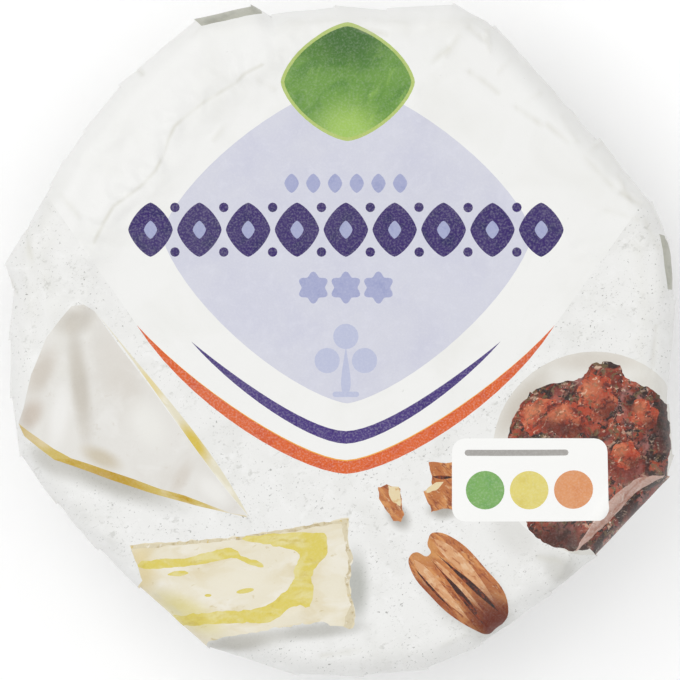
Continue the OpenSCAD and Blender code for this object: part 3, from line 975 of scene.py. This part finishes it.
# The paper's own patterns, in mm. Real fibres are about 0.03 mm thick, too fine to show, so they are
# drawn in clumps ten times as coarse.
FIBRE_SIZE, FIBRE_DEPTH = 0.34, 0.015
CRINKLE_SIZE, CRINKLE_DEPTH = 3.2, 0.06
CLOUD_SIZE = 11  # damp and handling
RUB_SIZE = 2.5  # where the lacquer is rubbed
# pale bare fibre, grey grime, and the painted shade along the creases
BARE_FIBRE, GRIME, CREASE_SHADOW = "EFEFED", "BDBCB4", "C6C4B6"


def empty_material(name):
    """A new material, and its node tree with nothing in it."""
    material = bpy.data.materials.new(name)
    material.use_nodes = True
    material.node_tree.nodes.clear()
    return material, material.node_tree


def coated_paper(name, ink):
    """Coated wrapping paper, printed and lacquered, in one ink.

    The fibres under the coating fleck and mottle the ink, the lacquer gives an uneven soft gloss,
    and handling leaves fine crinkles.
    """
    material, tree = empty_material(name)
    on_print = add(tree, "ShaderNodeUVMap", {"uv_map": "print"}).outputs["UV"]
    on_paper = add(tree, "ShaderNodeTexCoord").outputs["Object"]

    mixes = []
    for number, tone in enumerate(ink.tones):
        # each tone reads its own level of the noise, so that no two fall together
        spread = add(tree, "ShaderNodeMapping", {
            "vector_type": "TEXTURE", "Location": (0, 0, 3.7 * number),
            "Rotation": (0, 0, math.radians(tone.turn)),
            "Scale": (tone.size * tone.stretch, tone.size, 1),
        }, {"Vector": on_print})
        blotch = add(tree, "ShaderNodeTexNoise",
                     {"Scale": 1, "Detail": 3, "Roughness": 0.55, "Distortion": 0.5}, {"Vector": spread})
        share = add(tree, "ShaderNodeMapRange",
                    {"From Min": tone.low, "From Max": tone.high, "To Max": tone.strength},
                    {"Value": blotch})
        if tone.patch:
            patch = add(tree, "ShaderNodeTexNoise", {"Scale": 1 / tone.patch, "Detail": 1},
                        {"Vector": on_print})
            kept = add(tree, "ShaderNodeMapRange", {"From Min": 0.42, "From Max": 0.6}, {"Value": patch})
            share = add(tree, "ShaderNodeMath", {"operation": "MULTIPLY"},
                        {"Value": share, "Value_001": kept})
        mixes.append((share, tone.colour))
    for shade in ink.shades:
        centred = add(tree, "ShaderNodeMapping", {
            "vector_type": "TEXTURE", "Location": (shade.x, shade.y, 0),
            "Rotation": (0, 0, math.radians(shade.turn)),
            "Scale": (shade.half_w, shade.half_h, 1),
        }, {"Vector": on_print})
        pool = add(tree, "ShaderNodeTexGradient", {"gradient_type": "SPHERICAL"}, {"Vector": centred})
        soft = add(tree, "ShaderNodeMapRange",
                   {"interpolation_type": "SMOOTHSTEP", "From Max": 0.8, "To Max": shade.strength},
                   {"Value": pool})
        mixes.append((soft, shade.colour))

    # Fibres show as pale flecks, damp and handling as faint grey clouds, and the creases as painted shade
    fibre = add(tree, "ShaderNodeTexNoise", {"Scale": 1 / (FIBRE_SIZE * MM), "Detail": 3, "Roughness": 0.6},
                {"Vector": on_paper})
    fleck = add(tree, "ShaderNodeMapRange", {"From Min": 0.45, "From Max": 0.75, "To Max": ink.fleck},
                {"Value": fibre})
    cloud = add(tree, "ShaderNodeTexNoise", {"Scale": 1 / (CLOUD_SIZE * MM), "Detail": 3},
                {"Vector": on_paper})
    haze = add(tree, "ShaderNodeMapRange",
               {"From Min": 0.45, "From Max": 0.75, "To Max": 0.02 + 0.15 * ink.fleck},
               {"Value": cloud})
    wear = add(tree, "ShaderNodeAttribute", {"attribute_name": "wear"})
    shaded_share = add(tree, "ShaderNodeMapRange", {"To Max": 0.5}, {"Value": wear.outputs["Fac"]})
    mixes += [(fleck, BARE_FIBRE), (haze, GRIME), (shaded_share, CREASE_SHADOW)]
    colour = None
    for share, tone in mixes:
        links = {"Factor_Float": share} | ({"A_Color": colour} if colour else {})
        colour = add(tree, "ShaderNodeMix",
                     {"data_type": "RGBA", "A_Color": linear(ink.colour), "B_Color": linear(tone)},
                     links).outputs[2]

    # The lacquer's gloss, rubbed a little in places
    rub = add(tree, "ShaderNodeTexNoise", {"Scale": 1 / (RUB_SIZE * MM), "Detail": 4}, {"Vector": on_paper})
    rough = add(tree, "ShaderNodeMapRange", {"From Min": 0.3, "From Max": 0.7, "To Min": 0.4, "To Max": 0.56},
                {"Value": rub})
    # The crinkles' relief, then the fibres'
    crinkle = add(tree, "ShaderNodeTexVoronoi", {"feature": "F1", "Scale": 1 / (CRINKLE_SIZE * MM)},
                  {"Vector": on_paper})
    crinkled = add(tree, "ShaderNodeBump", {"Strength": 0.5, "Distance": CRINKLE_DEPTH * MM},
                   {"Height": crinkle.outputs["Distance"]})
    fibrous = add(tree, "ShaderNodeBump", {"Strength": 0.6, "Distance": FIBRE_DEPTH * MM},
                  {"Height": fibre, "Normal": crinkled})
    shader = add(tree, "ShaderNodeBsdfPrincipled",
                 {"Specular IOR Level": 0.35, "Coat Weight": 0.1, "Coat Roughness": 0.25},
                 {"Base Color": colour, "Roughness": rough, "Normal": fibrous,
                  "Coat Normal": crinkled})
    add(tree, "ShaderNodeOutputMaterial", None, {"Surface": shader})
    return material


materials = [coated_paper(f"coated paper, {name}", INKS[name]) for name in ink_names]

# ---------------------------------------------------------------- the wrapper

SHARP_FOLD = math.radians(50)  # a fold sharper than this keeps a hard edge


def make_wrapper():
    """The folded wrapper as one plain mesh in metres, with the middle of its plan at the origin."""
    sheet = put_in_scene("sheet", flat_mesh())
    tree, sockets = folding_tree(materials)
    fold = sheet.modifiers.new("fold", "NODES")
    fold.node_group = tree
    helpers = [profile_object()]
    values = {
        "Path": helpers[0], "Pleat depth": PLEAT_DEPTH, "Wave height": 0.6, "Wave size": 14.0,
        "Crinkle height": 0.22, "Crinkle size": 9.0, "Seed": 3.0,
    }
    for kind, crease in CREASES.items():
        helpers.append(line_object(f"{kind} lines", crease.lines))
        values |= {f"{kind} lines": helpers[-1]}
        values |= {f"{kind} {part}": float(getattr(crease, part)) for part in CREASE_SIZES}
    for name, value in values.items():
        fold[sockets[name]] = value
    graph = bpy.context.evaluated_depsgraph_get()
    mesh = bpy.data.meshes.new_from_object(
        sheet.evaluated_get(graph), preserve_all_data_layers=True, depsgraph=graph,
    )
    sheet.modifiers.clear()
    for helper in helpers + [sheet]:
        bpy.data.objects.remove(helper)
    places = np.empty(len(mesh.vertices) * 3, np.float32)
    mesh.vertices.foreach_get("co", places)
    places = places.reshape(-1, 3)
    middle = (places.min(axis=0) + places.max(axis=0)) / 2
    places[:, :2] -= middle[:2]
    mesh.vertices.foreach_set("co", (places * MM).ravel())
    for name in FACTS:
        mesh.attributes.remove(mesh.attributes[name])
    mesh.shade_smooth()
    mesh.set_sharp_from_angle(angle=SHARP_FOLD)
    mesh.name = "wrapper"
    return put_in_scene("wrapper", mesh)


wrapper = make_wrapper()
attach(wrapper, "root")
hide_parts(NODE)

# ---------------------------------------------------------------- floor, light and camera

FLOOR_HALF = 1.5
LIGHT_DISTANCE, LIGHT_SIZE = 1.6, 1.7
ROOM_LIGHT = 0.53  # strength of the even light from all sides
VIEW_WIDTH, VIEW_LEVEL = 340 / 3, 25  # mm that the picture takes in across, and the height where it does
CAMERA_UP = 1.0  # above that height
SENSOR_WIDTH = 36  # mm


def make_floor():
    """A plain floor of matt white board. Its faint grain is drawn 1 mm across, so that it shows."""
    mesh = bpy.data.meshes.new("floor")
    corners = [(FLOOR_HALF * x, FLOOR_HALF * y, 0) for x, y in ((-1, -1), (1, -1), (1, 1), (-1, 1))]
    mesh.from_pydata(corners, [], [(0, 1, 2, 3)])
    material, tree = empty_material("matt white board")
    place = add(tree, "ShaderNodeTexCoord").outputs["Object"]
    grain = add(tree, "ShaderNodeTexNoise", {"Scale": 1 / MM, "Detail": 3}, {"Vector": place})
    rough = add(tree, "ShaderNodeMapRange", {"To Min": 0.82, "To Max": 0.95}, {"Value": grain})
    tooth = add(tree, "ShaderNodeBump", {"Strength": 0.2, "Distance": 0.02 * MM}, {"Height": grain})
    shader = add(tree, "ShaderNodeBsdfPrincipled", {"Base Color": linear("FCFCFC")},
                 {"Roughness": rough, "Normal": tooth})
    add(tree, "ShaderNodeOutputMaterial", None, {"Surface": shader})
    mesh.materials.append(material)
    put_in_scene("floor", mesh)


def softbox(name, turn, elevation, power):
    """A wide soft light: its direction from the round, in degrees round and up, and its watts."""
    light = bpy.data.lights.new(name, "AREA")
    light.shape = "SQUARE"
    light.size = LIGHT_SIZE
    light.energy = power
    lamp = put_in_scene(name, light)
    a, e = math.radians(turn), math.radians(elevation)
    place = Vector((math.cos(a) * math.cos(e), math.sin(a) * math.cos(e), math.sin(e))) * LIGHT_DISTANCE
    lamp.location = place
    lamp.rotation_euler = (-place).to_track_quat("-Z", "Y").to_euler()


def make_camera():
    """A camera straight above the round."""
    camera = bpy.data.cameras.new("camera")
    camera.sensor_width = SENSOR_WIDTH
    camera.lens = SENSOR_WIDTH * CAMERA_UP / (VIEW_WIDTH * MM)
    camera.clip_start = 0.05
    seat = put_in_scene("camera", camera)
    seat.location = (0, 0, CAMERA_UP + VIEW_LEVEL * MM)
    bpy.context.scene.camera = seat


make_floor()
softbox("key", 150, 52, 12.2)
softbox("right fill", 30, 50, 6.6)
softbox("front fill", -90, 50, 5.8)
world = bpy.data.worlds.new("studio")
world.use_nodes = True
background = world.node_tree.nodes["Background"]
background.inputs["Color"].default_value = (1, 1, 1, 1)
background.inputs["Strength"].default_value = ROOM_LIGHT
bpy.context.scene.world = world
bpy.context.scene.view_settings.view_transform = "Standard"
make_camera()
